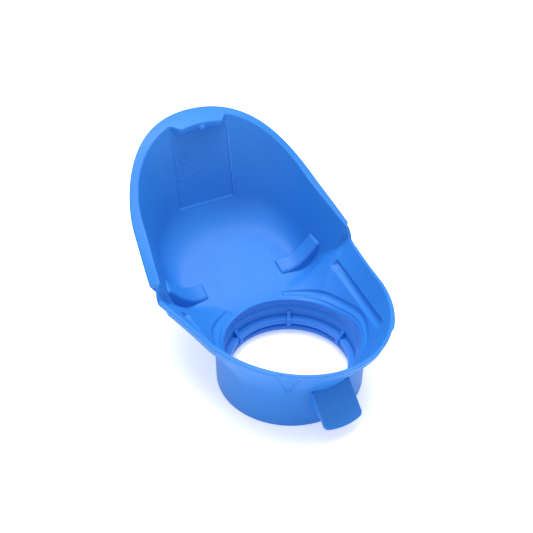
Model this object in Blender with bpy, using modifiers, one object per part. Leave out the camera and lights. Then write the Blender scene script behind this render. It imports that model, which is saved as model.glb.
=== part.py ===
"""Hooded mouthpiece of a urine bottle: a scoop-shaped hood, a funnel and a push-fit neck collar.

Lengths below are in millimetres and are turned into metres where the vertices are made.
X is the width, +Y points to the hood's tip, Z is up, and the collar stands on Z = 0 of the frame.
Heights in the constants are counted from a level 1.1 mm above the collar's lower face (COLLAR_BASE_Z).
"""

import math

import bmesh
import bpy
from mathutils import Matrix, Vector
from mathutils.bvhtree import BVHTree

MM = 0.001
ASSEMBLY = "urine_bottle_mouthpiece"
CLEARANCE = 0.32

# The collar's axis lies this far from the middle of the overall length.
AXIS_Y = -25.35

# Neck collar
COLLAR_R = 35.0
COLLAR_BORE_R = 31.0
COLLAR_BASE_Z = -1.1
COLLAR_TOP_Z = 16.8
COLLAR_STEPS = 96

# Snap bead inside the collar's lower edge
BEAD_R = 28.7
BEAD_Z0 = 0.5
BEAD_Z1 = 3.4

# Stop ring and its six ribs
RING_R = 27.7
RING_Z0 = 5.5
RING_Z1 = 8.2
RING_STEPS = 10
RING_END_DEG = 2.9
RIB_COUNT = 6
RIB_FIRST_DEG = 30.0
RIB_WIDTH = 2.0
RIB_TOP_Z = 11.6
RIB_LOW_Z = 4.6
RIB_KNOB_Z = 7.6
RIB_KNOB_R = 26.7

# Throat: the edge where the funnel runs into the collar's bore
THROAT_BACK = (30.7, 18.6)
THROAT_FRONT = (32.5, 21.0)
THROAT_BLEND_DEG = (70.0, 110.0)
FOOT_Z = COLLAR_TOP_Z + CLEARANCE

# Walls: the hood's thickness, and the funnel's away from the divide
WALL = 1.5
FUNNEL_WALL = 2.6
FUNNEL_WALL_BLEND_DEG = (60.0, 95.0)
FLOOR_RISE = 0.4355
FLOOR_START_Y = 36.0
FLOOR_EASE = 4.0
WALL_LEAN = 9.1
CORNER = 12.5
CREASE_Y = 37.0
CREASE_WIDTH = 11.0
CREASE_STEEP = 0.863
CREASE_POWER = 2.6

# Funnel edge in plan, as two cubic arcs from the front to the notch
FUNNEL_EDGE_Z = 42.0
FUNNEL_FRONT = ((0.0, -48.3), (21.0, -48.3), (38.0, -30.0), (43.4, -7.0))
FUNNEL_SIDE = ((43.4, -7.0), (45.4, 4.5), (48.0, 17.5), (51.0, 28.5))
NOTCH_RISE = 0.8

# Hood edge in plan, as two cubic arcs from the notch to the tip
HOOD_SIDE = ((49.6, 31.0), (48.2, 40.0), (46.2, 50.0), (44.8, 59.0))
HOOD_END = ((44.8, 59.0), (42.1, 80.1), (27.4, 93.4), (0.0, 93.4))
HOOD_EDGE_Z = 50.2
HOOD_SLOPE = 0.5
HOOD_CURVE_Y = 55.0
HOOD_CURVE = 0.00936

# Hood flange: its outer edge in plan, paired with the arcs above, and that edge's height
FLANGE_SIDE = ((53.8, 33.9), (52.9, 41.5), (51.5, 50.0), (50.1, 59.0))
FLANGE_END = ((50.1, 59.0), (46.7, 79.2), (30.1, 100.5), (0.0, 100.5))
FLANGE_EDGE_Z = 47.4
FLANGE_SLOPE = 0.535
FLANGE_LIFT = 12.0
FLANGE_LIFT_Y = (57.0, 105.0)
HOOD_FLANGE_T = 2.0

# Webs under the flange's front ends
GUSSET_START = 2.9
GUSSET_GAP = 0.5
GUSSET_HEIGHT = 4.4
GUSSET_T = 1.2

# Funnel lips: thickness along the wall, and for each the width, height and tuck of the outer face
FUNNEL_LIP_T = 3.0
SIDE_LIP_FRONT = (2.1, 3.3, 1.0)
SIDE_LIP_NOTCH = (1.5, 4.3, 0.0)
SIDE_LIP_DROP = 1.7
SIDE_LIP_DROP_DEG = (74.0, 30.0)
FACET_LIP = (0.9, 3.1, 2.0)
FRONT_LIP = (1.5, 3.2, 2.2)

# The side lips end and the front lip starts at these angles from the front centre
SIDE_LIP_END_DEG = 38.5
SIDE_LIP_START_DEG = 119.0
LIP_CHANGE_DEG = 50.0
LIP_OVERHANG = 0.7
FRONT_LIP_END_DEG = 26.0

# Divide between hood and funnel at the notch
DIVIDE_EDGE = (50.4, 29.8, 46.0)

# Grooves in the funnel's wall: share of the way up from the throat, depth, and bearings they span
GROOVES = (
    (0.13, 0.55, 75.0, 152.0),
    (0.60, 0.60, 59.0, 131.0),
)
GROOVE_LEVELS = (0.0, 0.09, 0.13, 0.20, 0.32, 0.44, 0.55, 0.60, 0.68, 0.80, 0.90, 1.0)

# Tip lip
LIP_HALF_W = 10.6
LIP_ROOT_HALF_W = 14.5
LIP_REACH = 5.6
LIP_T = 3.4
LIP_FALL = 1.9

# End panel, let into a window in the hood's end wall and set back from the wall's inner face
PANEL_HALF_W = 15.2
PANEL_Z = (50.0, 87.5)
PANEL_SET_BACK = 0.4
PANEL_T = 1.1

# Blank dial marks on the end panel: (x, z) of each centre
DIAL_R = 2.7
DIAL_T = 0.5
DIALS = ((-9.9, 75.4), (-12.4, 67.5), (-5.4, 68.2))

# Stop blocks: start and end values from the floor side to the wall side
BLOCK_X = (20.8, 40.6)
BLOCK_NEAR_Y = (43.1, 41.4)
BLOCK_FAR_Y = (51.4, 49.2)
BLOCK_NEAR_Z = (22.3, 35.2)
BLOCK_FAR_Z = (26.0, 37.6)
BLOCK_SAG = 3.3
BLOCK_GAP = (0.5, 1.7)
BLOCK_STEPS = 10

# Thumb tab
TAB_WIDTH = 19.6
TAB_SIDE = ((-33.0, 19.7), (-34.6, 19.7), (-46.4, 7.8), (-45.3, 6.5), (-41.8, 9.9), (-33.0, 10.3))
TAB_CORNER_R = 1.3
TAB_BULGE = 1.6
TAB_STEPS = 10

SIDE_STEPS = 14
FRONT_STEPS = 14
END_STEPS = 19
FLOOR_STEPS = 9
BEND_STEPS = 6
WALL_STEPS = 3

BLUE = (0.035, 0.23, 0.85, 1.0)


def lerp(a, b, t):
    return a + (b - a) * t


def smoothstep(t):
    t = min(1.0, max(0.0, t))
    return t * t * (3.0 - 2.0 * t)


def cubic(arc, t):
    """Point on a cubic Bezier arc in plan."""
    s = 1.0 - t
    weights = (s * s * s, 3.0 * s * s * t, 3.0 * s * t * t, t * t * t)
    x = sum(w * p[0] for w, p in zip(weights, arc))
    y = sum(w * p[1] for w, p in zip(weights, arc))
    return x, y


def floor_height(y):
    """Height of the hood's floor, level near the throat and then a steady ramp."""
    reach = (y - FLOOR_START_Y) / FLOOR_EASE
    if reach > 20.0:
        ramp = y - FLOOR_START_Y
    else:
        ramp = FLOOR_EASE * math.log1p(math.exp(reach))
    return THROAT_BACK[1] + FLOOR_RISE * ramp


def hood_edge_height(y):
    """Height of the hood's edge: a straight slope that steepens to the tip."""
    bend = max(0.0, y - HOOD_CURVE_Y)
    return HOOD_EDGE_Z + HOOD_SLOPE * (y - HOOD_SIDE[0][1]) + HOOD_CURVE * bend * bend


def bearing(x, y):
    """Angle from +Y, in degrees, of a plan point seen from the collar's axis."""
    return math.degrees(math.atan2(abs(x), y))


def throat_point(x, y):
    """Throat edge on the same bearing as a plan point."""
    angle = bearing(x, y)
    low, high = THROAT_BLEND_DEG
    t = smoothstep((angle - low) / (high - low))
    radius = lerp(THROAT_BACK[0], THROAT_FRONT[0], t)
    height = lerp(THROAT_BACK[1], THROAT_FRONT[1], t)
    size = math.hypot(x, y)
    return Vector((x / size * radius, y / size * radius, height))


def edge_stations(region):
    """Half of the edge, as points from the front centre round to the divide, or on to the tip."""
    divide = Vector(DIVIDE_EDGE)
    stations = []
    if region == "funnel":
        for i in range(FRONT_STEPS):
            x, y = cubic(FUNNEL_FRONT, i / FRONT_STEPS)
            stations.append(Vector((x, y, FUNNEL_EDGE_Z)))
        for i in range(SIDE_STEPS + 1):
            t = i / SIDE_STEPS
            x, y = cubic(FUNNEL_SIDE, t)
            stations.append(Vector((x, y, FUNNEL_EDGE_Z + NOTCH_RISE * t ** 4)))
        stations.append(divide)
        return stations
    stations.append(divide)
    for i in range(SIDE_STEPS):
        x, y = cubic(HOOD_SIDE, i / SIDE_STEPS)
        stations.append(Vector((x, y, hood_edge_height(y))))
    for i in range(END_STEPS + 1):
        x, y = cubic(HOOD_END, i / END_STEPS)
        stations.append(Vector((x, y, hood_edge_height(y))))
    return stations


def inward_normals(points, flat_first, flat_last):
    """Plan normals that point into the bowl. A flat end is one that lies on the mirror plane."""
    normals = []
    last = len(points) - 1
    for i in range(len(points)):
        ahead = points[min(i + 1, last)]
        behind = points[max(i - 1, 0)]
        tangent = Vector((ahead.x - behind.x, ahead.y - behind.y, 0.0))
        if i == 0 and flat_first:
            tangent = Vector((1.0, 0.0, 0.0))
        if i == last and flat_last:
            tangent = Vector((-1.0, 0.0, 0.0))
        tangent.normalize()
        normals.append(Vector((-tangent.y, tangent.x, 0.0)))
    return normals


def wall_direction(edge, normal):
    """Unit vector up the hood's wall at an edge point."""
    foot = edge + normal * WALL_LEAN
    foot.z = floor_height(foot.y)
    return (edge - foot).normalized()


def crease_weight(x, y):
    """0 on the funnel's side of the crease and 1 on the hood's side."""
    line = CREASE_Y - max(0.0, abs(x) - 40.0) * 0.55
    return smoothstep((y - line) / CREASE_WIDTH + 0.5)


def hood_profile(edge, normal):
    """Inner profile from the throat over the floor, round the corner and up under the flange."""
    start = throat_point(edge.x, edge.y)
    corner = edge + normal * WALL_LEAN
    corner.z = floor_height(corner.y)
    run = Vector((corner.x - start.x, corner.y - start.y, 0.0))
    upward = wall_direction(edge, normal)
    bend = min(CORNER, 0.8 * run.length)
    before = corner - run.normalized() * bend
    before.z = floor_height(before.y)
    after = corner + upward * bend
    top = edge - upward * (HOOD_FLANGE_T + CLEARANCE)
    path = []
    for i in range(FLOOR_STEPS):
        point = start.lerp(before, i / FLOOR_STEPS)
        point.z = floor_height(point.y)
        path.append(point)
    for i in range(BEND_STEPS):
        t = i / BEND_STEPS
        path.append(before * (1 - t) ** 2 + corner * 2 * t * (1 - t) + after * t * t)
    for i in range(WALL_STEPS + 1):
        path.append(after.lerp(top, i / WALL_STEPS))
    slope = CREASE_STEEP * (bearing(edge.x, edge.y) / 60.8) ** CREASE_POWER
    for point in path:
        reach = math.hypot(point.x, point.y) - THROAT_BACK[0]
        cone = max(point.z, start.z + slope * reach)
        point.z = lerp(cone, point.z, crease_weight(point.x, point.y))
    path[0] = start
    return path


def groove_depth(level, angle):
    """How far the funnel's wall is set back at a level and a bearing."""
    depth = 0.0
    for centre, deepest, low, high in GROOVES:
        if abs(level - centre) < 0.01:
            ends = smoothstep((angle - low) / 4.0) * smoothstep((high - angle) / 12.0)
            depth = deepest * ends
    return depth


def funnel_outward(edge, upward):
    """Unit normal of the funnel's cone, away from the bowl."""
    side = Vector((edge.x, edge.y, 0.0)).normalized()
    return (side - upward * side.dot(upward)).normalized()


def funnel_profile(edge, trim):
    """Inner profile of the funnel: a cone from the throat up to just under the lip."""
    start = throat_point(edge.x, edge.y)
    upward = (edge - start).normalized()
    top = edge - upward * trim
    outward = funnel_outward(edge, upward)
    angle = bearing(edge.x, edge.y)
    path = []
    for level in GROOVE_LEVELS:
        path.append(start.lerp(top, level) + outward * groove_depth(level, angle))
    return path


def divide_profile(levels):
    """The shared profile where hood and funnel meet, sampled at the given shares of its length."""
    edge = Vector(DIVIDE_EDGE)
    start = throat_point(edge.x, edge.y)
    return [start.lerp(edge, level) for level in levels]


def hood_grid():
    """Inner surface of the whole hood, from the left divide over the tip to the right divide."""
    stations = edge_stations("hood")
    normals = inward_normals(stations, False, True)
    half = [hood_profile(p, n) for p, n in zip(stations[1:], normals[1:])]
    count = len(half[0])
    levels = []
    for point in half[0]:
        span = math.hypot(stations[1].x, stations[1].y) - THROAT_BACK[0]
        levels.append((math.hypot(point.x, point.y) - THROAT_BACK[0]) / span)
    levels[0] = 0.0
    levels[count - 1] = 1.0
    half = [divide_profile(levels)] + half
    return mirror_rows(half, True)


def funnel_grid():
    """Inner surface of the whole funnel, from the left divide round the front to the right one."""
    stations = edge_stations("funnel")
    trim = FUNNEL_LIP_T + 1.3 * CLEARANCE
    half = [funnel_profile(p, trim) for p in stations[:-1]]
    half.append(divide_profile(GROOVE_LEVELS))
    return mirror_rows(half, False)


def mirror_rows(half, last_on_plane):
    """Complete a half surface by mirroring it about X = 0."""
    mirrored = [[Vector((-p.x, p.y, p.z)) for p in row] for row in half]
    if last_on_plane:
        return half + mirrored[-2::-1]
    return mirrored[:0:-1] + half


def outward_normals(grid):
    """Unit normals that point out of the bowl, by central differences."""
    result = []
    last = len(grid) - 1
    for i in range(len(grid)):
        line = []
        end = len(grid[i]) - 1
        for j in range(len(grid[i])):
            along = grid[min(i + 1, last)][j] - grid[max(i - 1, 0)][j]
            up = grid[i][min(j + 1, end)] - grid[i][max(j - 1, 0)]
            line.append(along.cross(up).normalized())
        result.append(line)
    return result


def place(point):
    """Millimetres about the collar's axis to metres in the part's frame."""
    return Vector((point.x, point.y + AXIS_Y, point.z - COLLAR_BASE_Z)) * MM


def material(name):
    mat = bpy.data.materials.new(name)
    mat.use_nodes = True
    shader = mat.node_tree.nodes["Principled BSDF"]
    shader.inputs["Base Color"].default_value = BLUE
    shader.inputs["Roughness"].default_value = 0.38
    return mat


def add_mesh(name, points, faces, collection):
    """Object from points in millimetres, with its normals turned outwards."""
    mesh = bpy.data.meshes.new(name)
    mesh.from_pydata([place(p) for p in points], [], faces)
    mesh.update()
    work = bmesh.new()
    work.from_mesh(mesh)
    bmesh.ops.recalc_face_normals(work, faces=work.faces)
    work.to_mesh(mesh)
    work.free()
    obj = bpy.data.objects.new(name, mesh)
    obj.data.materials.append(material(name))
    collection.objects.link(obj)
    return obj


def loft(name, sections, collection):
    """Solid through closed sections that all have the same number of points."""
    size = len(sections[0])
    points = [p for section in sections for p in section]
    faces = []
    for i in range(len(sections) - 1):
        a = i * size
        b = a + size
        for j in range(size):
            k = (j + 1) % size
            faces.append((a + j, a + k, b + k, b + j))
    faces.append(tuple(range(size)))
    faces.append(tuple(range(len(points) - size, len(points))))
    return add_mesh(name, points, faces, collection)


def strip_cap(size, offset, pairs):
    """End cap of a thin wall section, as quads between its inner and outer sides."""
    faces = []
    for j in range(pairs):
        a = offset + j
        b = offset + size - 1 - j
        faces.append((a, a + 1, b - 1, b))
    return faces


def loft_wall(name, sections, collection):
    """Like loft, for thin bent sections whose two sides have equal numbers of points."""
    size = len(sections[0])
    points = [p for section in sections for p in section]
    faces = []
    for i in range(len(sections) - 1):
        a = i * size
        b = a + size
        for j in range(size):
            k = (j + 1) % size
            faces.append((a + j, a + k, b + k, b + j))
    faces.extend(strip_cap(size, 0, size // 2 - 1))
    faces.extend(strip_cap(size, len(points) - size, size // 2 - 1))
    return add_mesh(name, points, faces, collection)


def revolve(name, profile, collection):
    """Solid of revolution about the collar's axis, made with a Screw modifier."""
    mesh = bpy.data.meshes.new(name)
    verts = [Vector((r, 0.0, z)) * MM for r, z in reversed(profile)]
    edges = [(i, (i + 1) % len(profile)) for i in range(len(profile))]
    mesh.from_pydata(verts, edges, [])
    obj = bpy.data.objects.new(name, mesh)
    obj.location = place(Vector((0.0, 0.0, 0.0)))
    obj.data.materials.append(material(name))
    collection.objects.link(obj)
    screw = obj.modifiers.new("Turn", "SCREW")
    screw.axis = "Z"
    screw.angle = 2.0 * math.pi
    screw.steps = COLLAR_STEPS
    screw.render_steps = COLLAR_STEPS
    screw.use_merge_vertices = True
    screw.merge_threshold = 0.00001
    return obj


def plate(name, outline, width, angle, collection):
    """Upright plate in a radial plane. The outline is in (radius, height) pairs."""
    turn = Matrix.Rotation(-math.radians(angle), 3, "Z")
    sections = []
    for side in (-0.5, 0.5):
        sections.append([turn @ Vector((side * width, r, z)) for r, z in outline])
    return loft(name, sections, collection)


def cut(target, cutter):
    """Take one solid out of another with an exact Boolean."""
    step = target.modifiers.new("Cut", "BOOLEAN")
    step.operation = "DIFFERENCE"
    step.solver = "EXACT"
    step.object = cutter
    cutter.hide_render = True
    cutter.display_type = "WIRE"


def wall_thickness(point):
    """The hood and the divide have the thinner wall, the funnel the thicker one."""
    low, high = FUNNEL_WALL_BLEND_DEG
    return lerp(WALL, FUNNEL_WALL, smoothstep((bearing(point.x, point.y) - low) / (high - low)))


def wall_sections(grid, shift):
    """Closed wall sections: up the inner side, down the outer side, and a foot at the throat."""
    normals = outward_normals(grid)
    sections = []
    last = len(grid) - 1
    for i, (row, outward) in enumerate(zip(grid, normals)):
        radial = Vector((row[0].x, row[0].y, 0.0)).normalized()
        across = Vector((-radial.y, radial.x, 0.0))
        if i in (0, last):
            outward = [(n - across * n.dot(across)).normalized() for n in outward]
        low_in = radial * COLLAR_BORE_R
        low_in.z = FOOT_Z
        low_out = radial * COLLAR_R
        low_out.z = FOOT_Z
        thick = wall_thickness(row[0])
        outer = [p + n * thick for p, n in zip(row, outward)]
        clear = [p for p in outer if math.hypot(p.x, p.y) > COLLAR_R + 0.5]
        join = radial * COLLAR_R
        join.z = max(clear[0].z - 0.5, FOOT_Z + 0.4)
        missing = len(outer) - len(clear)
        blend = [join.lerp(clear[0], k / missing) for k in range(missing)]
        section = [low_in] + list(row) + (blend + clear)[::-1] + [low_out]
        if i == 0:
            section = [p + across * shift for p in section]
        if i == last:
            section = [p - across * shift for p in section]
        sections.append(section)
    return sections


def flange_edge(arc, t):
    """Point on the flange's outer edge."""
    x, y = cubic(arc, t)
    lift = FLANGE_LIFT * smoothstep((y - FLANGE_LIFT_Y[0]) / (FLANGE_LIFT_Y[1] - FLANGE_LIFT_Y[0]))
    return Vector((x, y, FLANGE_EDGE_Z + FLANGE_SLOPE * (y - HOOD_SIDE[0][1]) + lift))


def hood_flange_sections():
    """Flange sections: each point of the hood's edge is paired with one of the flange's outer edge."""
    stations = edge_stations("hood")
    normals = inward_normals(stations, False, True)
    outer = [flange_edge(FLANGE_SIDE, i / SIDE_STEPS) for i in range(SIDE_STEPS)]
    outer += [flange_edge(FLANGE_END, i / END_STEPS) for i in range(END_STEPS + 1)]
    half = []
    for edge, normal, far in zip(stations[1:], normals[1:], outer):
        down = wall_direction(edge, normal) * -HOOD_FLANGE_T
        half.append([edge, far, far + down, edge + down])
    return mirror_rows(half, True)


def build_gusset(name, side, collection):
    """Small web under the flange's front end, between the flange and the outside of the wall."""
    edge = Vector((HOOD_SIDE[0][0], HOOD_SIDE[0][1], hood_edge_height(HOOD_SIDE[0][1])))
    end = flange_edge(FLANGE_SIDE, 0.0)
    along = (end - edge).normalized()
    top = edge + along * GUSSET_START - Vector((0.0, 0.0, HOOD_FLANGE_T + GUSSET_GAP))
    tip = end - along * 0.3 - Vector((0.0, 0.0, HOOD_FLANGE_T + GUSSET_GAP))
    foot = top - Vector((0.4, 0.0, GUSSET_HEIGHT))
    sections = []
    for shift in (0.4, 0.4 + GUSSET_T):
        step = Vector((0.0, shift, 0.0))
        sections.append([Vector((side * p.x, p.y, p.z)) + step for p in (top, tip, foot)])
    return loft(name, sections, collection)


def front_angle(point):
    return 180.0 - bearing(point.x, point.y)


def lip_sections(low, high, near, far):
    """Funnel lip between two angles from the front centre, with its outer face at each."""
    steps = max(4, int((high - low) / 6.0))
    stations = edge_stations("funnel")[:-1]
    angles = [front_angle(p) for p in stations]
    points = []
    for i in range(steps + 1):
        want = lerp(low, high, i / steps)
        k = 1
        while k < len(angles) - 1 and angles[k] < want:
            k += 1
        share = (want - angles[k - 1]) / (angles[k] - angles[k - 1])
        points.append(stations[k - 1].lerp(stations[k], min(1.0, share)))
    normals = inward_normals(points, low == 0.0, False)
    sections = []
    for edge, normal in zip(points, normals):
        upward = (edge - throat_point(edge.x, edge.y)).normalized()
        share = smoothstep((front_angle(edge) - low) / LIP_CHANGE_DEG)
        width, height, tuck = [lerp(a, b, share) for a, b in zip(near, far)]
        top_out = edge - normal * width
        top_out.z = edge.z - 0.25 * width
        drop = 0.0
        if high > SIDE_LIP_END_DEG:
            away = abs(front_angle(edge) - SIDE_LIP_DROP_DEG[0]) / SIDE_LIP_DROP_DEG[1]
            drop = SIDE_LIP_DROP * smoothstep(1.0 - away)
        low_out = edge - normal * (width - tuck + 0.3 * drop)
        low_out.z = edge.z - height - drop
        low_in = edge - upward * FUNNEL_LIP_T
        section = [edge, top_out, low_out, low_in]
        if high > SIDE_LIP_END_DEG:
            reach = wall_thickness(edge) + LIP_OVERHANG
            section.insert(3, low_in + funnel_outward(edge, upward) * reach)
        sections.append(section)
    return sections


def add_lip(name, low, high, faces, side, collection):
    sections = lip_sections(low, high, faces[0], faces[1])
    if side == 0:
        sections = mirror_rows(sections, False)
    else:
        sections = [[Vector((p.x * side, p.y, p.z)) for p in row] for row in sections]
    return loft(name, sections, collection)


def inner_tree(grid):
    """Search tree of an inner surface, for setting pieces down on it."""
    size = len(grid[0])
    points = [p for row in grid for p in row]
    faces = []
    for i in range(len(grid) - 1):
        for j in range(size - 1):
            a = i * size + j
            faces.append((a, a + 1, a + size + 1, a + size))
    return BVHTree.FromPolygons(points, faces)


def build_tip_lip(collection):
    """Block that widens the flange inwards at the hood's tip."""
    stations = edge_stations("hood")
    sections = []
    steps = 14
    for i in range(steps + 1):
        x = lerp(-LIP_ROOT_HALF_W, LIP_ROOT_HALF_W, i / steps)
        k = len(stations) - 2
        while stations[k].x < abs(x):
            k -= 1
        share = (stations[k].x - abs(x)) / (stations[k].x - stations[k + 1].x)
        edge = stations[k].lerp(stations[k + 1], share)
        outside = (LIP_ROOT_HALF_W - abs(x)) / (LIP_ROOT_HALF_W - LIP_HALF_W)
        reach = 1.2 + (LIP_REACH - 1.2) * smoothstep(outside)
        root = Vector((x, edge.y - CLEARANCE - 0.1, edge.z))
        front = Vector((x, edge.y - reach, edge.z - LIP_FALL * reach / LIP_REACH))
        root_low = root + Vector((0.0, -0.7, -LIP_T))
        front_low = front + Vector((0.0, 0.3, -LIP_T))
        if front_low.y > root_low.y - 0.2:
            front_low.y = root_low.y - 0.2
        sections.append([root, front, front_low, root_low])
    return loft("tip_lip", sections, collection)


def build_end_panel(tree, collection):
    """Panel that follows the hood's end wall."""
    steps_x = 8
    steps_z = 12
    sections = []
    for i in range(steps_x + 1):
        x = lerp(-PANEL_HALF_W, PANEL_HALF_W, i / steps_x)
        near = []
        far = []
        for j in range(steps_z + 1):
            z = lerp(PANEL_Z[0], PANEL_Z[1], j / steps_z)
            hit = tree.ray_cast(Vector((x, 60.0, z)), Vector((0.0, 1.0, 0.0)))[0]
            near.append(hit + Vector((0.0, PANEL_SET_BACK, 0.0)))
            far.append(hit + Vector((0.0, PANEL_SET_BACK + PANEL_T, 0.0)))
        sections.append(near + far[::-1])
    return loft_wall("end_panel", sections, collection)


def cut_window(hood, tools):
    """Window for the end panel, straight through the end wall."""
    half = PANEL_HALF_W + CLEARANCE
    low = PANEL_Z[0] - CLEARANCE
    high = PANEL_Z[1] + CLEARANCE
    sections = []
    for y in (78.0, 110.0):
        sections.append([Vector((x, y, z)) for x, z in ((-half, low), (half, low), (half, high), (-half, high))])
    cut(hood, loft("panel_window", sections, tools))


def build_dials(tree, collection):
    """Blank round marks that stand on the end panel."""
    for number, (x, z) in enumerate(DIALS, 1):
        hit = tree.ray_cast(Vector((x, 60.0, z)), Vector((0.0, 1.0, 0.0)))[0]
        above = tree.ray_cast(Vector((x, 60.0, z + 2.0)), Vector((0.0, 1.0, 0.0)))[0]
        upward = (above - hit).normalized()
        inward = Vector((0.0, -upward.z, upward.y))
        base = hit + Vector((0.0, PANEL_SET_BACK, 0.0)) + inward * (CLEARANCE + 0.2)
        sections = []
        for level in (0.0, DIAL_T):
            ring = []
            for k in range(24):
                turn = math.radians(15.0 * k)
                flat = Vector((math.cos(turn), 0.0, 0.0)) + upward * math.sin(turn)
                ring.append(base + inward * level + flat * DIAL_R)
            sections.append(ring)
        loft("dial_mark_%d" % number, sections, collection)


def build_block(name, side, tree, collection):
    """Stop block that bridges the corner between the hood's floor and its side wall."""
    sections = []
    for i in range(BLOCK_STEPS + 1):
        t = i / BLOCK_STEPS
        x = lerp(BLOCK_X[0], BLOCK_X[1], t)
        sag = BLOCK_SAG * 4.0 * t * (1.0 - t)
        gap = lerp(BLOCK_GAP[0], BLOCK_GAP[1], t * t)
        tops = []
        lows = []
        for j in range(4):
            s = j / 3.0
            y = lerp(lerp(BLOCK_NEAR_Y[0], BLOCK_NEAR_Y[1], t), lerp(BLOCK_FAR_Y[0], BLOCK_FAR_Y[1], t), s)
            near = lerp(BLOCK_NEAR_Z[0], BLOCK_NEAR_Z[1], t)
            far = lerp(BLOCK_FAR_Z[0], BLOCK_FAR_Z[1], t)
            hit = tree.ray_cast(Vector((side * x, y, 80.0)), Vector((0.0, 0.0, -1.0)))[0]
            low = hit + Vector((0.0, 0.0, gap))
            high = max(lerp(near, far, s) - sag, low.z + 0.6)
            lows.append(low)
            tops.append(Vector((side * x, y, high)))
        sections.append(tops + lows[::-1])
    return loft_wall(name, sections, collection)


def build_neck(parts):
    outer = COLLAR_R
    bore = COLLAR_BORE_R
    collar = (
        (outer, COLLAR_BASE_Z + 0.6), (outer, COLLAR_TOP_Z), (bore, COLLAR_TOP_Z),
        (bore, COLLAR_BASE_Z + 0.4), (bore + 0.4, COLLAR_BASE_Z), (outer - 0.6, COLLAR_BASE_Z),
    )
    revolve("neck_collar", collar, parts)
    seat = bore - CLEARANCE
    bead = (
        (seat, BEAD_Z0), (seat, BEAD_Z1 + 0.8), (BEAD_R + 0.5, BEAD_Z1),
        (BEAD_R, 2.4), (BEAD_R, 1.4), (BEAD_R + 0.7, BEAD_Z0),
    )
    revolve("snap_bead", bead, parts)
    rib = (
        (seat, RIB_LOW_Z), (seat, RIB_TOP_Z), (seat - 0.9, RIB_TOP_Z),
        (RIB_KNOB_R + 0.4, RIB_KNOB_Z), (RIB_KNOB_R, RIB_KNOB_Z - 0.6),
        (RIB_KNOB_R, RIB_LOW_Z + 0.5), (RIB_KNOB_R + 0.5, RIB_LOW_Z),
    )
    pitch = 360.0 / RIB_COUNT
    for i in range(RIB_COUNT):
        angle = RIB_FIRST_DEG + i * pitch
        plate("stop_rib_%d" % (i + 1), rib, RIB_WIDTH, angle, parts)
        sections = []
        for k in range(RING_STEPS + 1):
            turn = math.radians(lerp(angle + RING_END_DEG, angle + pitch - RING_END_DEG, k / RING_STEPS))
            radial = Vector((math.sin(turn), math.cos(turn), 0.0))
            outline = ((RING_R, RING_Z0), (seat, RING_Z0), (seat, RING_Z1), (RING_R, RING_Z1))
            sections.append([radial * r + Vector((0.0, 0.0, z)) for r, z in outline])
        loft("stop_ring_%d" % (i + 1), sections, parts)


def build_tab(parts, tools):
    sections = []
    lean = (Vector(TAB_SIDE[2]) - Vector(TAB_SIDE[1])).normalized()
    for i in range(TAB_STEPS + 1):
        side = i / TAB_STEPS - 0.5
        bulge = lean * TAB_BULGE * (1.0 - 4.0 * side * side)
        section = []
        for k, (y, z) in enumerate(TAB_SIDE):
            tip = bulge if k in (2, 3) else Vector((0.0, 0.0))
            section.append(Vector((side * TAB_WIDTH, y + tip.x, z + tip.y)))
        sections.append(section)
    tab = loft("thumb_tab", sections, parts)
    work = bmesh.new()
    work.from_mesh(tab.data)
    tip_y = (TAB_SIDE[2][0] + TAB_SIDE[3][0]) * 0.5
    corners = []
    for edge in work.edges:
        middle = (edge.verts[0].co + edge.verts[1].co) / (2.0 * MM)
        if abs(middle.y - AXIS_Y - tip_y) < 0.1 and abs(middle.x) > TAB_WIDTH * 0.49:
            corners.append(edge)
    bmesh.ops.bevel(work, geom=corners, offset=TAB_CORNER_R * MM, segments=5, profile=0.5, affect="EDGES")
    work.to_mesh(tab.data)
    work.free()
    keep_off = COLLAR_R + CLEARANCE
    core = revolve("collar_clearance", ((keep_off, -5.0), (keep_off, 40.0), (0.5, 40.0), (0.5, -5.0)), tools)
    cut(tab, core)


def main():
    for obj in list(bpy.data.objects):
        bpy.data.objects.remove(obj, do_unlink=True)
    parts = bpy.data.collections.new(ASSEMBLY)
    tools = bpy.data.collections.new("cutters")
    bpy.context.scene.collection.children.link(parts)
    bpy.context.scene.collection.children.link(tools)

    hood = hood_grid()
    funnel = funnel_grid()
    shell = loft_wall("hood_shell", wall_sections(hood, 0.2), parts)
    cut_window(shell, tools)
    loft_wall("funnel_shell", wall_sections(funnel, 0.2), parts)
    loft("hood_flange", hood_flange_sections(), parts)

    add_lip("funnel_lip_front", 0.0, FRONT_LIP_END_DEG, (FRONT_LIP, FRONT_LIP), 0, parts)
    for label, side in (("left", -1), ("right", 1)):
        facet_low = FRONT_LIP_END_DEG + 0.5
        facet_high = SIDE_LIP_END_DEG - 0.5
        build_gusset("flange_gusset_" + label, side, parts)
        add_lip("lip_facet_" + label, facet_low, facet_high, (FACET_LIP, FACET_LIP), side, parts)
        side_faces = (SIDE_LIP_FRONT, SIDE_LIP_NOTCH)
        add_lip("funnel_lip_" + label, SIDE_LIP_END_DEG, SIDE_LIP_START_DEG, side_faces, side, parts)

    tree = inner_tree(hood)
    build_tip_lip(parts)
    build_end_panel(tree, parts)
    build_dials(tree, parts)
    build_block("stop_block_left", -1, tree, parts)
    build_block("stop_block_right", 1, tree, parts)
    build_neck(parts)
    build_tab(parts, tools)


main()
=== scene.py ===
"""Visual model of the hooded urine bottle mouthpiece.

Lengths are in millimetres about the collar's axis, and become metres in the CAD frame in to_frame().
X is the width, +Y points to the hood's tip and Z is up. The moulding is one closed skin: a ring of
columns round the bowl, each a closed loop through the collar, the inside, the rim and the outside.
"""
import math

import bmesh
import bpy
import numpy as np
from mathutils import Matrix, Vector
from mathutils.bvhtree import BVHTree


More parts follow.
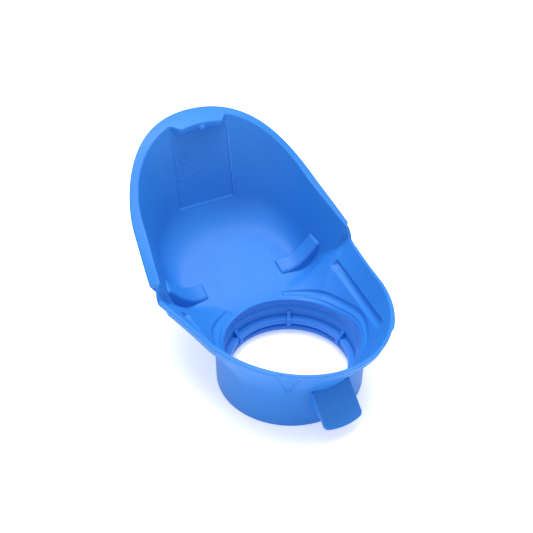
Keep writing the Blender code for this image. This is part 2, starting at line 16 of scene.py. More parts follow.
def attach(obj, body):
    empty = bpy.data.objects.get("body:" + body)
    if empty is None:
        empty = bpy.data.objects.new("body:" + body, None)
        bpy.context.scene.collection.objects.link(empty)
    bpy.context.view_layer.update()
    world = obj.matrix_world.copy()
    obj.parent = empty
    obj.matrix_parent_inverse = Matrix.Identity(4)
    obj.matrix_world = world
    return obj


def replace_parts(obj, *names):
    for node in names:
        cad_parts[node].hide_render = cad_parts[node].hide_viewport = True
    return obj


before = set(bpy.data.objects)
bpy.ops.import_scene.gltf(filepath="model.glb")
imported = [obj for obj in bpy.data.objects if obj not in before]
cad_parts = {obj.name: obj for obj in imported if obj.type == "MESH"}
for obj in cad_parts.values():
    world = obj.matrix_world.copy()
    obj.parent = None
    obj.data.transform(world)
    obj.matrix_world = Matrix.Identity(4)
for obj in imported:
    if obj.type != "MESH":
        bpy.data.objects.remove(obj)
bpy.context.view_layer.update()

# A millimetre in metres, and the collar's axis and foot in the CAD frame
MM = 0.001
AXIS_Y = -25.35
BASE_Z = -1.1

# Collar, and the six ribs of its stop ring with their outline as radius and height
COLLAR_R = 35.0
BORE_R = 31.0
RIB_FIRST_DEG = 30.0
RIB_COUNT = 6
RIB_WIDTH = 2.0
RIB_OUTLINE = (
    (31.4, 4.6), (31.4, 11.6), (29.8, 11.6), (28.3, 8.9), (27.1, 8.4), (26.7, 7.7), (26.7, 5.4), (27.2, 4.6),
)

# Throat as radius and height, at the back and at the front, and the bearings between which it changes
THROAT_BACK = (30.7, 18.6)
THROAT_FRONT = (32.5, 21.0)
THROAT_BLEND = (70.0, 110.0)

# Walls: the hood's, the funnel's at its rim and at the collar, and the funnel's behind the throat
WALL = 1.5
FUNNEL_WALL = (1.45, 2.1)
BACK_FUNNEL_WALL = 1.7

# Hood's floor and walls: the floor's rise per mm of y, and how far a wall's foot stands inside its edge
FLOOR_RISE = 0.4355
FLOOR_START_Y = 36.0
FLOOR_EASE = 4.0
WALL_LEAN = 9.1
CORNER = 12.5

# Crease between the hood's floor and the funnel's cone
CREASE_Y = 37.0
CREASE_WIDTH = 11.0
CREASE_SIDE_X = 40.0
CREASE_SIDE_TURN = 0.55
CREASE_STEEP = 0.863
CREASE_POWER = 2.6

# Edges: the funnel's height and its rise into the notch, then the outline as cubic arcs
EDGE_Z = 42.0
NOTCH_RISE = 0.8
NOTCH_BEARING = 60.8
NOTCH_RIM_Y = 22.2
NOTCH_RIM_FADE = 0.35
KNEE_IN = 0.3
FUNNEL_FRONT = ((0.0, -48.3), (21.0, -48.3), (38.0, -30.0), (43.4, -7.0))
FUNNEL_SIDE = ((43.4, -7.0), (45.4, 4.5), (48.0, 17.5), (51.0, 28.5))
HOOD_SIDE = ((49.6, 31.0), (48.2, 40.0), (46.2, 50.0), (44.8, 59.0))
HOOD_END = ((44.8, 59.0), (42.1, 80.1), (27.4, 93.4), (0.0, 93.4))
FLANGE_SIDE = ((53.8, 33.9), (52.9, 41.5), (51.5, 50.0), (50.1, 59.0))
FLANGE_END = ((50.1, 59.0), (46.7, 79.2), (30.1, 100.5), (0.0, 100.5))
NOTCH_PATH = ((51.0, 28.5, 42.8), (51.35, 29.7, 45.2), (50.9, 29.9, 48.4), (49.6, 31.0, 50.2))
FLANGE_T = 2.0

# Heights of the hood's edge and of its flange's outer edge: start, rise per mm of y, then the upturn
HOOD_Y = 31.0
HOOD_Z = 50.2
HOOD_RISE = 0.5
HOOD_UPTURN_Y = 55.0
HOOD_UPTURN = 0.00936
FLANGE_Z = 47.4
FLANGE_RISE = 0.535
FLANGE_UPTURN_Y = 57.0
FLANGE_UPTURN_RUN = 48.0
FLANGE_UPTURN = 12.0

# How many columns each stretch of the half outline has
FRONT_COLUMNS = 128
SIDE_COLUMNS = 50
NOTCH_COLUMNS = 16
HOOD_COLUMNS = 34
END_COLUMNS = 108

# Rows up the inside: a dense band next to the throat, then the rest up to UNDER_LIP below the edge
FIRST_ROW = 0.9
NEAR_ROWS = 26
NEAR_LENGTH = 9.0
FAR_ROWS = 54
OUTER_ROWS = 28
UNDER_LIP = 4.2
EDGE_BEVEL = (1.3, 2.6)

# Long groove: a straight cut across the bowl's side, along a leaning plane that has a normal and an offset
LONG_GROOVE_WIDTH = 4.5
LONG_GROOVE_DEPTH = 1.5
LONG_GROOVE_NORMAL = np.array((0.840, -0.1485, 0.522))
LONG_GROOVE_OFFSET = 47.76
LONG_GROOVE_START = np.array((40.7, 26.5, 33.2))
LONG_GROOVE_ALONG = np.array((-0.204, -0.978, 0.055))
LONG_GROOVE_LENGTH = 57.6
LONG_GROOVE_FADE = 11.0

# Grooves round the throat: width, depth, first and last bearing, and the bearings over which they fade
SHORT_GROOVE = (4.2, 0.9, 24.0, 156.0, 26.0)
THROAT_LINE = (1.1, 0.25, 18.0, 162.0, 10.0)
THROAT_LINE_AT = 2.0
GROOVE_END_LENGTH = 1.3

# Section of every groove: where its deepest line lies between -1 and 1, and how its sides curve
GROOVE_DEEPEST = 0.3
GROOVE_CURVE = 1.5
GROOVE_FLAT = 0.85

# Funnel's rim: width, height and tuck in front, beside it, further back and in the notch. RIM_STEP_DEG is
# where the front gives way to the side, and the rim drops deepest at RIM_DROP_DEG. Both are bearings from -Y.
FRONT_RIM = np.array((1.5, 3.0, 1.2))
SIDE_RIM = np.array((2.1, 3.3, 1.0))
BACK_RIM = np.array((1.7, 3.2, 0.0))
NOTCH_RIM = np.array((1.45, 2.2, 0.0))
RIM_STEP_DEG = 37.2
RIM_DROP = 1.7
RIM_DROP_DEG = 74.0
RIM_DROP_SPREAD = 30.0

# Skirt: two raised layers and a V between them. Bearings from -Y of the V's two sides, at the rim and below,
# then of the steps beside it, the end of the back layer and the bead.
SKIRT_LAYER = 0.75
SKIRT_BEAD = 0.25
V_FRONT_SIDE = (26.0, 31.0)
V_BACK_SIDE = (38.5, 32.6)
SKIRT_STEPS = (0.6, 1.1)
SKIRT_END_DEG = 62.0
SKIRT_FADE = 16.0
SKIRT_BEAD_W = 0.9

# Recess in the end wall: its half width, foot and head, and how its cutter widens in front of the wall
PANEL_HALF_W = 15.2
PANEL_LOW = 50.0
PANEL_HIGH = 87.5
PANEL_SAG = 0.9
CUTTER_FRONT = 3.0
CUTTER_SPREAD = 1.25
CUTTER_DROP = 0.9
PANEL_DEPTH = 0.3
PANEL_FOOT_DEPTH = 0.8

# Raised line beside the recess: distance from it, half width, height and how deep its root is
SEAM_ASIDE = 0.25
SEAM_HALF_W = 0.28
SEAM_PROUD = 0.22
SEAM_ROOT = 0.5

# Marks: x, z and height of each dial on the end wall, places of the others, and profiles as radius and height
DIALS = ((-9.9, 75.4, 0.34), (-12.0, 67.3, 0.2), (-4.7, 68.2, 0.16))
DIAL_R = 2.85
PIN_PLACE = (25.6, 72.6)
GATE_PLACE = (0.4, 88.2, 91.1)
GATE_PROFILE = ((1.9, -0.6), (1.9, 0.1), (1.6, 0.55), (1.0, 0.85), (0.02, 0.95), (0.02, -0.6))
PIN_RING = ((3.9, -0.5), (3.9, 0.0), (3.65, 0.24), (3.4, 0.24), (3.15, 0.0), (3.1, -0.5))

# Tip lip: half widths at its front and at its root, reach, fall and thickness
LIP_HALF_W = 10.2
LIP_ROOT_HALF_W = 16.0
LIP_REACH = 5.6
LIP_FALL = 1.9
LIP_T = 3.4

# Stop blocks: both ends as x, near y, far y, near z and far z, the dish and the round edges of the top
BLOCK_FOOT = (20.8, 43.1, 51.4, 22.3, 26.0)
BLOCK_TOP = (40.6, 41.4, 49.2, 35.2, 37.6)
BLOCK_SAG = 3.3
BLOCK_PAST_WALL = 1.16
BLOCK_ROUND = 0.14
BLOCK_ROUND_DROP = 1.1
BLOCK_ROWS = (0.0, 0.02, 0.07, 0.14, 0.25, 0.4, 0.6, 0.75, 0.86, 0.93, 0.98, 1.0)

# Thumb tab: its outline as y and z, then its width, the bow of its free end and that end's corners
TAB_OUTLINE = ((-32.6, 19.9), (-34.6, 19.7), (-46.4, 7.8), (-45.3, 6.5), (-41.8, 9.9), (-32.6, 10.3))
TAB_WIDTH = 19.6
TAB_BULGE = 1.6
TAB_CORNER = 1.5
TAB_CORNER_AT = 0.42
TAB_CORNER_RUN = 0.08

# Gussets: outline as x and z, y of both faces at the root, and how far they turn back per mm of x
GUSSET_OUTLINE = ((49.6, 48.6), (53.2, 47.3), (52.6, 46.4), (49.8, 42.2), (48.9, 42.4))
GUSSET_Y = (32.2, 33.6)
GUSSET_TURN = 0.25

# CAD nodes that the one-skin moulding stands for, besides the stop ring's six
MOULDING_NODES = (
    "hood_shell", "funnel_shell", "hood_flange", "tip_lip", "end_panel", "neck_collar", "snap_bead",
    "funnel_lip_front", "funnel_lip_left", "funnel_lip_right", "lip_facet_left", "lip_facet_right",
)

# Colours
DEEP_BLUE = (0.023, 0.183, 0.60, 1.0)
LIGHT_BLUE = (0.031, 0.209, 0.66, 1.0)
# Paler blue that sharp convex edges take on: partly wear, partly a painted highlight
EDGE_WEAR_HIGHLIGHT_BLUE = (0.05, 0.30, 0.95, 1.0)
# Paler blue of the raised line beside the recess: a painted highlight
SEAM_HIGHLIGHT_BLUE = (0.06, 0.27, 0.80, 1.0)
WHITE = (1.0, 1.0, 1.0, 1.0)

# Camera: lens for a 36 mm sensor, distance in metres, and how far aside of the collar per metre it aims
CAMERA_LENS = 50.521576
CAMERA_DISTANCE = 0.359905
CAMERA_ASIDE = (0.0304813, -0.1382353)
CAMERA_ELEVATION = 35.78
CAMERA_TURN = -29.38


def smooth(t):
    t = np.clip(t, 0.0, 1.0)
    return t * t * (3.0 - 2.0 * t)


def lerp(a, b, t):
    return a + (b - a) * t


def unit(v):
    return v / np.linalg.norm(v)


def cubic(arc, t):
    s = 1.0 - t
    a = np.asarray(arc)
    return s ** 3 * a[0] + 3 * s * s * t * a[1] + 3 * s * t * t * a[2] + t ** 3 * a[3]


def floor_height(y):
    ramp = FLOOR_EASE * np.logaddexp(0.0, (y - FLOOR_START_Y) / FLOOR_EASE)
    return THROAT_BACK[1] + FLOOR_RISE * ramp


def hood_edge_height(y):
    return HOOD_Z + HOOD_RISE * (y - HOOD_Y) + HOOD_UPTURN * max(0.0, y - HOOD_UPTURN_Y) ** 2


def flange_edge(arc, t):
    x, y = cubic(arc, t)
    upturn = FLANGE_UPTURN * smooth((y - FLANGE_UPTURN_Y) / FLANGE_UPTURN_RUN)
    return np.array((x, y, FLANGE_Z + FLANGE_RISE * (y - HOOD_Y) + upturn))


def bearing(p):
    """Angle from +Y, in degrees, seen from the collar's axis."""
    return math.degrees(math.atan2(abs(p[0]), p[1]))


def throat(p):
    low, high = THROAT_BLEND
    t = smooth((bearing(p) - low) / (high - low))
    r = lerp(THROAT_BACK[0], THROAT_FRONT[0], t)
    size = math.hypot(p[0], p[1])
    back = floor_height(p[1] / size * r)
    return np.array((p[0] / size * r, p[1] / size * r, lerp(back, THROAT_FRONT[1], t)))


def hood_path(edge, normal):
    """From the throat over the floor, round the corner and up the wall to the edge."""
    start = throat(edge)
    corner = edge + normal * WALL_LEAN
    corner[2] = floor_height(corner[1])
    run = corner[:2] - start[:2]
    length = np.linalg.norm(run)
    upward = unit(edge - corner)
    bend = min(CORNER, 0.8 * length)
    before = corner.copy()
    before[:2] -= run / length * bend
    before[2] = floor_height(before[1])
    after = corner + upward * bend
    t = np.linspace(0, 1, 40, endpoint=False)[:, None]
    ground = start + (before - start) * t
    ground[:, 2] = floor_height(ground[:, 1])
    t = np.linspace(0, 1, 30, endpoint=False)[:, None]
    turn = before * (1 - t) ** 2 + corner * 2 * t * (1 - t) + after * t * t
    t = np.linspace(0, 1, 50)[:, None]
    path = np.vstack((ground, turn, after + (edge - after) * t))
    slope = cone_slope(edge)
    reach = np.hypot(path[:, 0], path[:, 1]) - THROAT_BACK[0]
    cone = np.maximum(path[:, 2], start[2] + slope * reach)
    line = CREASE_Y - np.maximum(0.0, np.abs(path[:, 0]) - CREASE_SIDE_X) * CREASE_SIDE_TURN
    weight = smooth((path[:, 1] - line) / CREASE_WIDTH + 0.5)
    path[:, 2] = lerp(cone, path[:, 2], weight)
    return path


def cone_slope(p):
    """Rise of the funnel's cone per mm of radius, which flattens towards the hood's floor."""
    return CREASE_STEEP * (bearing(p) / NOTCH_BEARING) ** CREASE_POWER


def funnel_path(edge):
    """Straight up the funnel's cone. In the notch it leaves the cone for the taller edge."""
    start = throat(edge)
    rise = edge[2] - EDGE_Z - NOTCH_RISE
    if rise <= 0.0:
        return start + (edge - start) * np.linspace(0, 1, 80)[:, None]
    radial = unit(np.array((edge[0], edge[1], 0.0)))
    knee = edge - radial * KNEE_IN * rise
    run = math.hypot(knee[0], knee[1]) - THROAT_BACK[0]
    knee[2] = start[2] + (cone_slope(edge) + 0.01) * run
    t = np.linspace(0, 1, 60)[:, None]
    return np.vstack((start + (knee - start) * t[:-1], knee + (edge - knee) * t[::3]))


def resample(path, wanted):
    steps = np.linalg.norm(np.diff(path, axis=0), axis=1)
    s = np.concatenate(((0.0,), np.cumsum(steps)))
    return np.stack([np.interp(wanted, s, path[:, k]) for k in range(3)], axis=1)


def path_length(path):
    return np.linalg.norm(np.diff(path, axis=0), axis=1).sum()


def inner_rows(path):
    """Rows of one column, how far along it each lies, and its whole length."""
    length = path_length(path)
    near = np.linspace(FIRST_ROW, NEAR_LENGTH, NEAR_ROWS, endpoint=False)
    far = np.linspace(NEAR_LENGTH, length - UNDER_LIP, FAR_ROWS)
    s = np.concatenate((near, far))
    return resample(path, s), s, length


class Column:
    """One station of the half outline."""

    def __init__(self, edge, hood, flange=None, notch=0.0):
        self.edge = np.asarray(edge, dtype=float)
        self.hood = hood
        self.flange = flange
        self.notch = notch


def half_outline():
    columns = []
    for i in range(FRONT_COLUMNS):
        x, y = cubic(FUNNEL_FRONT, i / FRONT_COLUMNS)
        columns.append(Column((x, y, EDGE_Z), 0.0))
    for i in range(SIDE_COLUMNS):
        t = i / SIDE_COLUMNS
        x, y = cubic(FUNNEL_SIDE, t)
        notch = smooth((y - NOTCH_RIM_Y) / NOTCH_RIM_FADE)
        columns.append(Column((x, y, EDGE_Z + NOTCH_RISE * t ** 4), 0.0, None, notch))
    for i in range(NOTCH_COLUMNS + 1):
        t = i / NOTCH_COLUMNS
        columns.append(Column(cubic(NOTCH_PATH, t), smooth(t * 0.9), None, 1.0))
    for i in range(HOOD_COLUMNS):
        t = 0.01 + 0.99 * i / HOOD_COLUMNS
        x, y = cubic(HOOD_SIDE, t)
        columns.append(Column((x, y, hood_edge_height(y)), 1.0, flange_edge(FLANGE_SIDE, t - 0.01)))
    for i in range(END_COLUMNS + 1):
        t = i / END_COLUMNS
        x, y = cubic(HOOD_END, t)
        columns.append(Column((x, y, hood_edge_height(y)), 1.0, flange_edge(FLANGE_END, t)))
    last = len(columns) - 1
    for i, column in enumerate(columns):
        ahead = columns[min(i + 2, last)].edge
        behind = columns[max(i - 2, 0)].edge
        along = ahead - behind
        if i == 0:
            along = np.array((1.0, 0.0, 0.0))
        if i == last:
            along = np.array((-1.0, 0.0, 0.0))
        along[2] = 0.0
        along = unit(along)
        column.normal = np.array((-along[1], along[0], 0.0))
    first = FRONT_COLUMNS + SIDE_COLUMNS - 3
    final = FRONT_COLUMNS + SIDE_COLUMNS + NOTCH_COLUMNS + 4
    for i in range(first, final):
        t = smooth((i - first) / (final - first))
        columns[i].normal = unit(lerp(columns[first - 1].normal, columns[final].normal, t))
    return columns


def groove_depth(u, deep):
    """Unequal V across a groove: u runs from -1 at its lower edge to 1 at its upper edge."""
    reach = 1.0 - GROOVE_DEEPEST if u > GROOVE_DEEPEST else 1.0 + GROOVE_DEEPEST
    w = min(1.0, abs(u - GROOVE_DEEPEST) / reach)
    return deep * min(1.0, (1.0 - w ** GROOVE_CURVE) / GROOVE_FLAT)


def short_groove_at(angle):
    """How far the short groove runs from the throat, at a bearing."""
    return lerp(4.6, 5.3, smooth((angle - 30.0) / 40.0)) - 0.9 * smooth((angle - 90.0) / 50.0)


def groove_field(point, s):
    """Depth of the grooves at a point, s along its column from the throat."""
    spot = np.array((abs(point[0]), point[1], point[2]))
    across = (spot @ LONG_GROOVE_NORMAL - LONG_GROOVE_OFFSET) / (0.5 * LONG_GROOVE_WIDTH)
    run = (spot - LONG_GROOVE_START) @ LONG_GROOVE_ALONG
    depth = 0.0
    if abs(across) < 1.0 and 0.0 < run < LONG_GROOVE_LENGTH:
        ends = smooth(run / GROOVE_END_LENGTH) * smooth((LONG_GROOVE_LENGTH - run) / LONG_GROOVE_FADE)
        depth = groove_depth(across, LONG_GROOVE_DEPTH) * ends
    angle = bearing(point)
    radius = math.hypot(point[0], point[1])
    if angle < NOTCH_BEARING:
        s = (radius - THROAT_BACK[0]) * math.hypot(1.0, cone_slope(point))
    rings = ((SHORT_GROOVE, short_groove_at(angle)), (THROAT_LINE, THROAT_LINE_AT))
    for (width, deep, first, last, fade), place in rings:
        u = (s - place) / (0.5 * width)
        if first < angle < last and abs(u) < 1.0:
            side = (angle - first) * math.radians(1.0) * radius
            ends = smooth(side / GROOVE_END_LENGTH) * smooth((last - angle) / fade)
            depth = max(depth, groove_depth(u, deep) * ends)
    return depth


def rim_size(angle_front, notch):
    """Width, height and tuck of the funnel's rim face."""
    size = lerp(FRONT_RIM, SIDE_RIM, smooth((angle_front - RIM_STEP_DEG) / 1.6))
    size = lerp(size, BACK_RIM, smooth((angle_front - V_BACK_SIDE[0]) / 50.0))
    drop = RIM_DROP * smooth(1.0 - abs(angle_front - RIM_DROP_DEG) / RIM_DROP_SPREAD)
    size = size + np.array((0.0, drop, 0.3 * drop))
    return lerp(size, NOTCH_RIM, notch)


def skirt_layer(angle_front, v):
    """How far the outer skirt stands proud of the funnel's wall. v is 0 under the rim."""
    low = lerp(V_FRONT_SIDE[0], V_FRONT_SIDE[1], v)
    high = lerp(V_BACK_SIDE[0], V_BACK_SIDE[1], v)
    inside = smooth((low - angle_front) / SKIRT_STEPS[0])
    outside = smooth((angle_front - high) / SKIRT_STEPS[1])
    outside *= 1.0 - smooth((angle_front - SKIRT_END_DEG) / SKIRT_FADE)
    bead = smooth(1.0 - abs(low - SKIRT_BEAD_W - angle_front) / SKIRT_BEAD_W)
    return SKIRT_LAYER * max(inside, outside) + SKIRT_BEAD * bead


def wall_thickness(angle, v):
    """v is 0 at the rim and 1 at the collar."""
    funnel = lerp(FUNNEL_WALL[0], FUNNEL_WALL[1], v)
    behind = smooth((110.0 - angle) / 25.0)
    share = smooth((angle - 60.0) / 35.0)
    return lerp(WALL, lerp(funnel, BACK_FUNNEL_WALL, behind), share)


def tip_reach(x):
    return LIP_REACH * smooth((LIP_ROOT_HALF_W - abs(x)) / (LIP_ROOT_HALF_W - LIP_HALF_W))


def round_chain(chain):
    """Closed chain of (point, radius, count): corners become short quadratic curves."""
    result = []
    n = len(chain)
    for i, (p, r, count) in enumerate(chain):
        if count == 1:
            result.append(p)
            continue
        a = chain[i - 1][0] - p
        b = chain[(i + 1) % n][0] - p
        la = max(np.linalg.norm(a), 1e-6)
        lb = max(np.linalg.norm(b), 1e-6)
        p0 = p + a * min(r / la, 0.45)
        p1 = p + b * min(r / lb, 0.45)
        for k in range(count):
            t = k / (count - 1)
            result.append(p0 * (1 - t) ** 2 + p * 2 * t * (1 - t) + p1 * t * t)
    return result


def build_columns():
    columns = half_outline()
    for column in columns:
        edge = column.edge
        a, s, length = inner_rows(funnel_path(edge))
        if column.hood > 0.0:
            b, s_hood, hood_length = inner_rows(hood_path(edge, column.normal))
            a = lerp(a, b, column.hood)
            s = lerp(s, s_hood, column.hood)
            length = lerp(length, hood_length, column.hood)
        column.inner, column.s, column.length = a, s, length
    return columns


def wall_normals(columns):
    grid = np.array([c.inner for c in columns])
    mirror = grid * np.array((-1.0, 1.0, 1.0))
    pad = 3
    full = np.concatenate((mirror[pad:0:-1], grid, mirror[-2:-2 - pad:-1]))
    along = full[2 * pad:] - full[:-2 * pad]
    up = np.gradient(grid, axis=1)
    normals = np.cross(along, up)
    return normals / np.linalg.norm(normals, axis=2, keepdims=True)


def bore_corners(radial):
    """Collar from its lower outer edge, through the bead and the stop ring, up the bore."""
    profile = (
        (COLLAR_R, BASE_Z, 0.9, 4), (31.2, BASE_Z, 0.5, 3), (BORE_R, 0.5, 0.3, 3), (29.1, 0.5, 0.5, 3),
        (28.7, 1.9, 0.8, 3), (29.2, 3.4, 0.6, 3), (BORE_R, 4.2, 0.4, 3), (BORE_R, 5.5, 0.4, 3),
        (27.7, 5.5, 0.45, 3), (27.7, 8.2, 0.45, 3), (BORE_R, 8.2, 0.5, 3), (BORE_R, 13.2, 0.8, 4),
        (31.9, 14.9, 0.8, 4), (31.9, 16.6, 0.6, 3),
    )
    return [(radial * r + np.array((0.0, 0.0, z)), size, count) for r, z, size, count in profile]


def outer_rows(column, normals):
    """Outside of the wall, from under the rim down to where it meets the collar."""
    angle = bearing(column.edge)
    radial = unit(np.array((column.edge[0], column.edge[1], 0.0)))
    rows = []
    for j in range(len(column.inner) - 1, -1, -1):
        v = 1.0 - column.s[j] / column.length
        thick = wall_thickness(angle, v)
        if column.hood < 1.0:
            thick += skirt_layer(180.0 - angle, v)
        point = column.inner[j] + normals[j] * thick
        if math.hypot(point[0], point[1]) < COLLAR_R + 0.05:
            break
        rows.append(point)
    last, prev = rows[-1], rows[-4]
    r0 = math.hypot(prev[0], prev[1])
    r1 = math.hypot(last[0], last[1])
    join = radial * COLLAR_R
    join[2] = lerp(prev[2], last[2], (r0 - COLLAR_R) / (r0 - r1))
    path = np.array(rows + [join])
    length = path_length(path)
    rows = resample(path, np.linspace(0.0, length - 1.6, OUTER_ROWS))
    return rows, join


def column_loop(column, normals):
    edge = column.edge
    angle = bearing(edge)
    radial = unit(np.array((edge[0], edge[1], 0.0)))
    chain = bore_corners(radial)
    chain.append((throat(edge), 0.9, 5))
    for j in range(len(column.inner)):
        depth = groove_field(column.inner[j], column.s[j])
        chain.append((column.inner[j] + normals[j] * depth, 0.0, 1))
    below = column.inner[-1]
    upward = unit(edge - below)
    reach = tip_reach(edge[0]) if edge[1] > 60.0 else 0.0
    low = edge - upward * EDGE_BEVEL[0]
    front = edge.copy()
    if reach > 0.0:
        share = reach / LIP_REACH
        front = edge + np.array((0.0, -reach, -LIP_FALL * share))
        tucked = front + np.array((0.0, 0.3, -LIP_T))
        low = lerp(low, tucked, smooth(share * 2.5))
        chain.append((edge - upward * lerp(EDGE_BEVEL[1], 3.9, share), 0.9, 4))
    else:
        chain.append((edge - upward * EDGE_BEVEL[1], 0.5, 4))
    chain.append((low, 0.7, 5))
    chain.append((front, 0.8 if column.flange is not None else 0.45, 6))
    rows, join = outer_rows(column, normals)
    if column.flange is None:
        width, height, tuck = rim_size(180.0 - angle, column.notch)
        outward = -column.normal
        top = edge + outward * width
        top[2] -= 0.25 * width
        low_out = edge + outward * (width - tuck)
        low_out[2] -= height
        thick = wall_thickness(angle, 0.0)
        ledge = below + normals[-1] * (thick + skirt_layer(180.0 - angle, 0.0))
        ledge = ledge + upward * 0.6
        front_layer = smooth((V_FRONT_SIDE[0] - (180.0 - angle)) / 8.0)
        ledge = ledge + front_layer * (outward * 0.4 + upward * 0.4)
        chain.append((top, 0.5, 6))
        chain.append((low_out, 0.35, 4))
        chain.append((ledge, 0.35, 4))
    else:
        down = -upward * FLANGE_T
        root = edge + down + normals[-1] * WALL
        chain.append((column.flange, 1.0, 6))
        chain.append((column.flange + down, 0.8, 4))
        chain.append((root, 1.6, 4))
    for row in rows:
        chain.append((row, 0.0, 1))
    chain.append((join, 1.3, 6))
    foot = radial * COLLAR_R
    chain.append((foot + np.array((0.0, 0.0, 9.0)), 0.0, 1))
    return round_chain(chain)


def to_frame(points):
    """Millimetres about the collar's axis to metres in the CAD frame."""
    p = np.array(points, dtype=float)
    p[:, 1] += AXIS_Y
    p[:, 2] -= BASE_Z
    return p * MM


def add_mesh(name, points, faces, mat, smooth_angle=40.0):
    mesh = bpy.data.meshes.new(name)
    mesh.from_pydata([tuple(p) for p in to_frame(points)], [], faces)
    mesh.update()
    work = bmesh.new()
    work.from_mesh(mesh)
    bmesh.ops.recalc_face_normals(work, faces=work.faces)
    work.to_mesh(mesh)
    work.free()
    for face in mesh.polygons:
        face.use_smooth = True
    mesh.set_sharp_from_angle(angle=math.radians(smooth_angle))
    obj = bpy.data.objects.new(name, mesh)
    obj.data.materials.append(mat)
    bpy.context.scene.collection.objects.link(obj)
    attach(obj, "root")
    return obj


def apply_modifiers(obj):
    graph = bpy.context.evaluated_depsgraph_get()
    graph.update()
    mesh = bpy.data.meshes.new_from_object(obj.evaluated_get(graph))
    obj.modifiers.clear()
    obj.data = mesh


def bevel(obj, width, segments=3, angle=35.0):
    step = obj.modifiers.new("Bevel", "BEVEL")
    step.width = width * MM
    step.segments = segments
    step.limit_method = "ANGLE"
    step.angle_limit = math.radians(angle)
    step.harden_normals = False
    apply_modifiers(obj)


def build_moulding(mat):
    columns = build_columns()
    normals = wall_normals(columns)
    half = [column_loop(c, n) for c, n in zip(columns, normals)]
    sides = [[np.array((-p[0], p[1], p[2])) for p in loop] for loop in half[-2:0:-1]]
    ring = half + sides
    size = len(ring[0])
    points = [p for loop in ring for p in loop]
    faces = []
    total = len(ring)
    for i in range(total):
        a = i * size
        b = ((i + 1) % total) * size
        for j in range(size):
            k = (j + 1) % size
            faces.append((a + j, a + k, b + k, b + j))
    obj = add_mesh("moulding", points, faces, mat, 55.0)
    inner = [c.inner for c in columns]
    return obj, inner


def inner_tree(inner):
    full = inner + [row * np.array((-1.0, 1.0, 1.0)) for row in inner[-2:0:-1]]
    size = len(full[0])
    points = [Vector(p) for row in full for p in row]
    faces = []
    for i in range(len(full)):
        b = (i + 1) % len(full)
        for j in range(size - 1):
            faces.append((i * size + j, i * size + j + 1, b * size + j + 1, b * size + j))
    return BVHTree.FromPolygons(points, faces)


def wall_hit(tree, x, z):
    """Point on the hood's end wall, and the wall's inward normal there."""
    hit, normal, _, _ = tree.ray_cast(Vector((x, 60.0, z)), Vector((0.0, 1.0, 0.0)))
    if normal.y > 0.0:
        normal = -normal
    return hit, normal


def side_hit(tree, side, y, z):
    """How far out the hood's side wall is."""
    hit, _, _, _ = tree.ray_cast(Vector((side * 22.0, y, z)), Vector((side, 0.0, 0.0)))
    return abs(hit.x) if hit is not None else 60.0


def floor_hit(tree, x, y):
    hit, normal, _, _ = tree.ray_cast(Vector((x, y, 85.0)), Vector((0.0, 0.0, -1.0)))
    if normal.z < 0.0:
        normal = -normal
    return hit, normal


def panel_depth(t):
    """Depth of the end wall's recess: t is 0 at its bottom and 1 at its top."""
    return PANEL_DEPTH + PANEL_FOOT_DEPTH * (1.0 - t) ** 3


def cut_panel(obj, tree, mat):
    """Shallow recess in the end wall."""
    half, low, high = PANEL_HALF_W, PANEL_LOW, PANEL_HIGH
    nx, nz = 20, 24
    near, far = [], []
    for i in range(nx + 1):
        x = lerp(-half, half, i / nx)
        for j in range(nz + 1):
            t = j / nz
            z = lerp(low - PANEL_SAG * (1.0 - (x / half) ** 2), high, t)
            hit, _ = wall_hit(tree, x, z)
            near.append((x * CUTTER_SPREAD, hit.y - CUTTER_FRONT, z - CUTTER_DROP * (1.0 - t)))
            far.append((x, hit.y + panel_depth(t), z))
    points = near + far
    step = nz + 1
    base = len(near)
    faces = []
    for i in range(nx):
        for j in range(nz):
            a = i * step + j
            faces.append((a, a + 1, a + step + 1, a + step))
            faces.append((base + a, base + a + step, base + a + step + 1, base + a + 1))
    for i in range(nx):
        for j in (0, nz):
            a = i * step + j
            faces.append((a, a + step, base + a + step, base + a))
    for j in range(nz):
        for i in (0, nx):
            a = i * step + j
            faces.append((a, a + 1, base + a + 1, base + a))
    mesh = bpy.data.meshes.new("recess")
    mesh.from_pydata([tuple(p) for p in to_frame(points)], [], faces)
    work = bmesh.new()
    work.from_mesh(mesh)
    bmesh.ops.recalc_face_normals(work, faces=work.faces)
    work.to_mesh(mesh)
    work.free()
    mesh.materials.append(mat)
    for face in mesh.polygons:
        face.use_smooth = True
    tool = bpy.data.objects.new("recess", mesh)
    bpy.context.scene.collection.objects.link(tool)
    step = obj.modifiers.new("Recess", "BOOLEAN")
    step.operation = "DIFFERENCE"
    step.solver = "EXACT"
    step.object = tool
    apply_modifiers(obj)
    bpy.data.objects.remove(tool, do_unlink=True)
    obj.data.set_sharp_from_angle(angle=math.radians(50.0))


def loft(name, sections, mat, smooth_angle=40.0):
    size = len(sections[0])
    points = [p for section in sections for p in section]
    faces = []
    for i in range(len(sections) - 1):
        a = i * size
        b = a + size
        for j in range(size):
            k = (j + 1) % size
            faces.append((a + j, a + k, b + k, b + j))
    faces.append(tuple(range(size)))
    faces.append(tuple(range(len(points) - size, len(points))))
    return add_mesh(name, points, faces, mat, smooth_angle)


